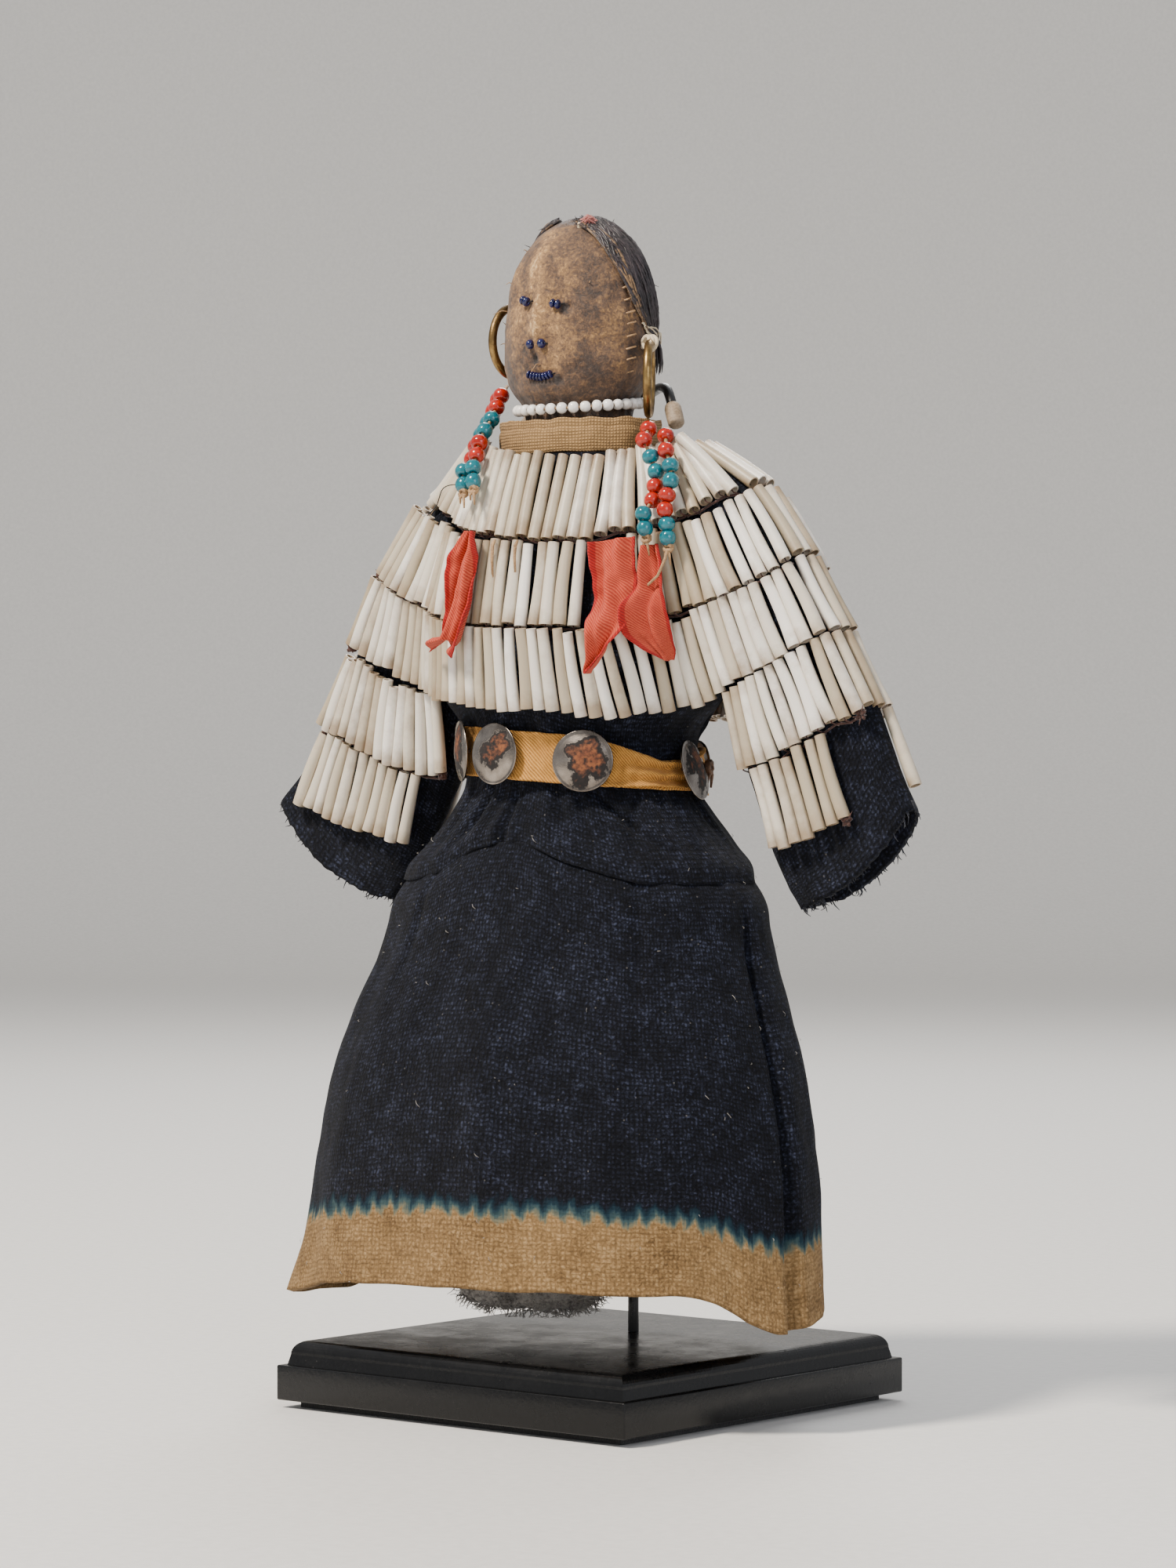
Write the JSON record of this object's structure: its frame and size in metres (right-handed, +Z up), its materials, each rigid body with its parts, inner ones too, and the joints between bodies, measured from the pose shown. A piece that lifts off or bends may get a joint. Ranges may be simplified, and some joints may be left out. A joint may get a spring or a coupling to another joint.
{
  "type": "beaded hide doll on stand",
  "caption": "Stuffed hide doll in a wool dress sewn with rows of tubular shells, with belt, beads and ribbons, held upright by a neck rod on a moulded square base.",
  "frame": {"origin": "centre of the underside of the base, on the surface it stands on", "axes": "+Z up, -Y to the figure's front, +X to the figure's own left"},
  "size_m": [0.2079, 0.114, 0.3038],
  "materials": {
    "felt": "thin black felt",
    "plinth_wood": "black lacquer, glossy with fine scuffs",
    "stand_steel": "blackened steel",
    "prong_tubing": "matte tan tubing",
    "hide": "worn smoked hide, mottled brown and tan",
    "hair": "dark hair with a soft sheen",
    "tuft_wool": "faded pink wool",
    "brass_wire": "tarnished brass wire",
    "blue_glass": "dark blue glass beads",
    "white_glass": "opaque white glass beads",
    "collar_cotton": "coarse tan cotton canvas with frayed edges",
    "navy_wool": "felted navy wool, undyed tan selvage at the hem",
    "fleece": "loose grey fleece",
    "belt_twill": "mustard cotton twill",
    "knot_leather": "dry brown leather",
    "disc_metal": "dull tin with rust spots",
    "bead_glass": "glossy opaque red and teal glass beads",
    "ribbon_silk": "coral ribbon with brighter red woven edges",
    "shell": "polished ivory shell with brown stains"
  },
  "bodies": {
    "root": {"foot_pad": "felt", "plinth": "plinth_wood", "stand_rod": "stand_steel", "neck_fork": "stand_steel", "prong_pad_left": "prong_tubing", "prong_pad_right": "prong_tubing", "hide_figure": "hide", "hair_lock_left": "hair", "hair_lock_right": "hair", "crown_tuft": "tuft_wool", "earring_left": "brass_wire", "earring_right": "brass_wire", "eye_beads_left": "blue_glass", "eye_beads_right": "blue_glass", "nostril_bead_left": "blue_glass", "nostril_bead_right": "blue_glass", "mouth_beads": "blue_glass", "necklace": "white_glass", "collar_band": "collar_cotton", "dress_top": "navy_wool", "skirt": "navy_wool", "wool_wadding": "fleece", "belt": "belt_twill", "belt_knot": "knot_leather", "belt_disc_1": "disc_metal", "belt_disc_2": "disc_metal", "belt_disc_3": "disc_metal", "belt_disc_4": "disc_metal", "belt_disc_5": "disc_metal", "belt_disc_6": "disc_metal", "belt_disc_7": "disc_metal", "bead_string_right_front": "bead_glass", "bead_string_right_back": "bead_glass", "bead_string_left_front": "bead_glass", "bead_string_left_back": "bead_glass", "ribbon_right": "ribbon_silk", "ribbon_left_front": "ribbon_silk", "ribbon_left_back": "ribbon_silk", "shell_row_1_front": "shell", "shell_row_2_front": "shell", "shell_row_3_front": "shell", "shell_row_4_left_front": "shell", "shell_row_5_left_front": "shell", "shell_row_4_right_front": "shell", "shell_row_5_right_front": "shell", "shell_row_1_back": "shell", "shell_row_2_back": "shell", "shell_row_3_back": "shell", "shell_row_4_left_back": "shell", "shell_row_5_left_back": "shell", "shell_row_4_right_back": "shell", "shell_row_5_right_back": "shell"}
  },
  "joints": []
}
